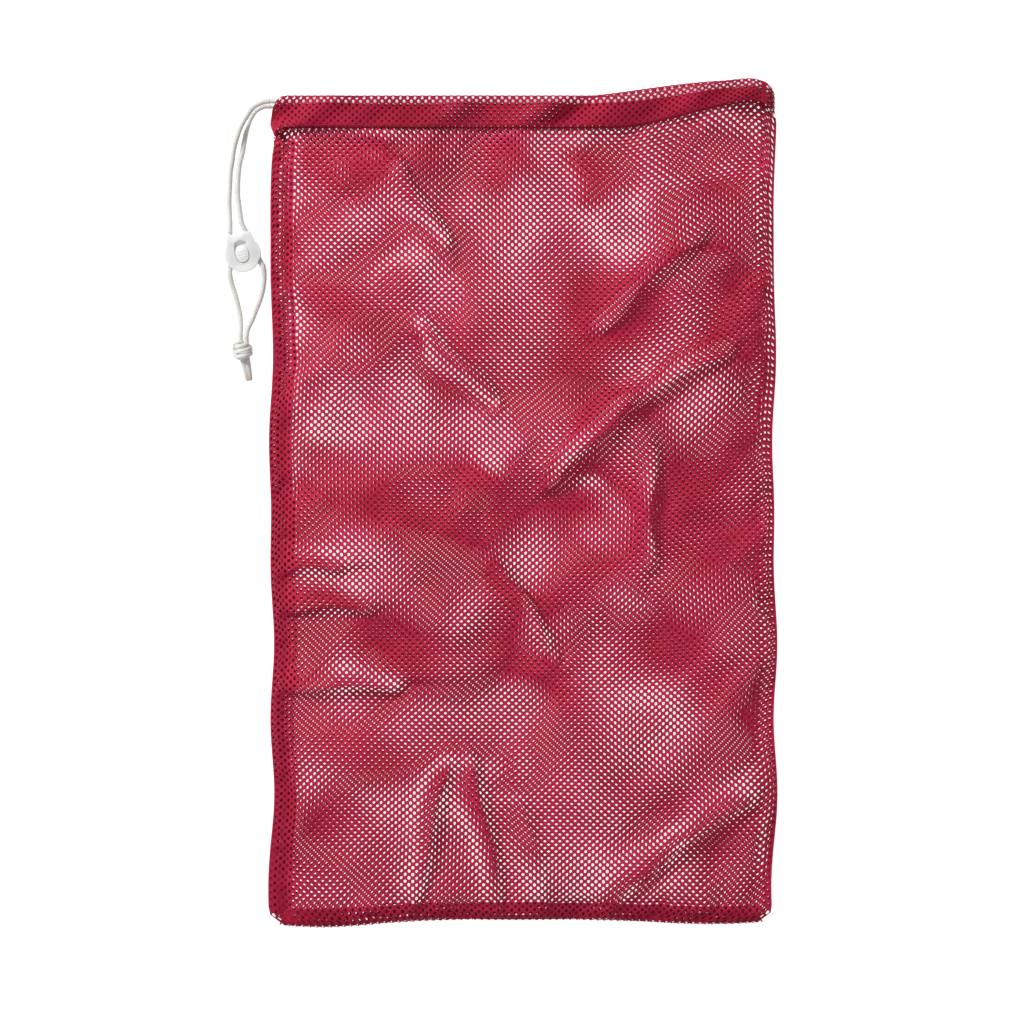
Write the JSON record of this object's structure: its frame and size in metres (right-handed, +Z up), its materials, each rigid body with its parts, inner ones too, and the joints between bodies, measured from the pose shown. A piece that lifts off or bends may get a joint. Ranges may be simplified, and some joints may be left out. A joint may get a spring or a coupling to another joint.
{
  "type": "mesh laundry bag",
  "caption": "Flat-lying drawstring laundry bag of knitted mesh with a braided cord, a knotted end and a wedge cord lock that slides and clamps.",
  "frame": {"origin": "on the surface the bag lies on, under the middle of the bag's own box (the free cord, knot and lock left out)", "axes": "+X across the bag towards its folded edge, +Y along the bag towards the mouth, +Z up from the surface"},
  "size_m": [0.4164, 0.6359, 0.019],
  "materials": {
    "mesh_fabric": "crimson warp-knitted polyester mesh with round holes, soft satin sheen",
    "thread": "crimson polyester sewing thread",
    "braided_cord": "off-white round braided polyester cord, fine diagonal plaits",
    "fused_tip": "heat-fused cord end, off-white going slightly amber at the tip",
    "lock_plastic": "white injection-moulded plastic, satin gloss with softened edges"
  },
  "bodies": {
    "root": {"back_panel": "mesh_fabric", "front_panel": "mesh_fabric", "side_seam_allowance": "mesh_fabric", "bottom_seam_allowance": "mesh_fabric", "hem_channel_front": "mesh_fabric", "hem_channel_back": "mesh_fabric", "hem_channel_fold": "mesh_fabric", "side_seam_stitching": "thread", "bottom_seam_stitching": "thread", "hem_stitching_front": "thread", "hem_stitching_back": "thread", "seam_backtack": "thread", "drawstring_in_hem": "braided_cord", "outer_strand_upper": "braided_cord", "inner_strand_upper": "braided_cord", "outer_strand_lower": "braided_cord", "inner_strand_lower": "braided_cord", "end_knot": "braided_cord", "cord_tail": "fused_tip"},
    "lock": {"lock_housing": "lock_plastic", "outer_strand_in_lock": "braided_cord", "inner_strand_in_lock": "braided_cord"},
    "wedge": {"lock_wedge": "lock_plastic"}
  },
  "joints": [
    {"name": "lock_slide", "type": "slide", "parent": "root", "child": "lock", "axis": [-0.225, 0.9744, 0], "range_m": [-0.03, 0.04], "deforming": ["outer_strand_upper", "inner_strand_upper", "outer_strand_lower", "inner_strand_lower"]},
    {"name": "wedge_slide", "type": "slide", "parent": "lock", "child": "wedge", "axis": [-0.225, 0.9744, 0], "range_m": [0, 0.004]}
  ]
}
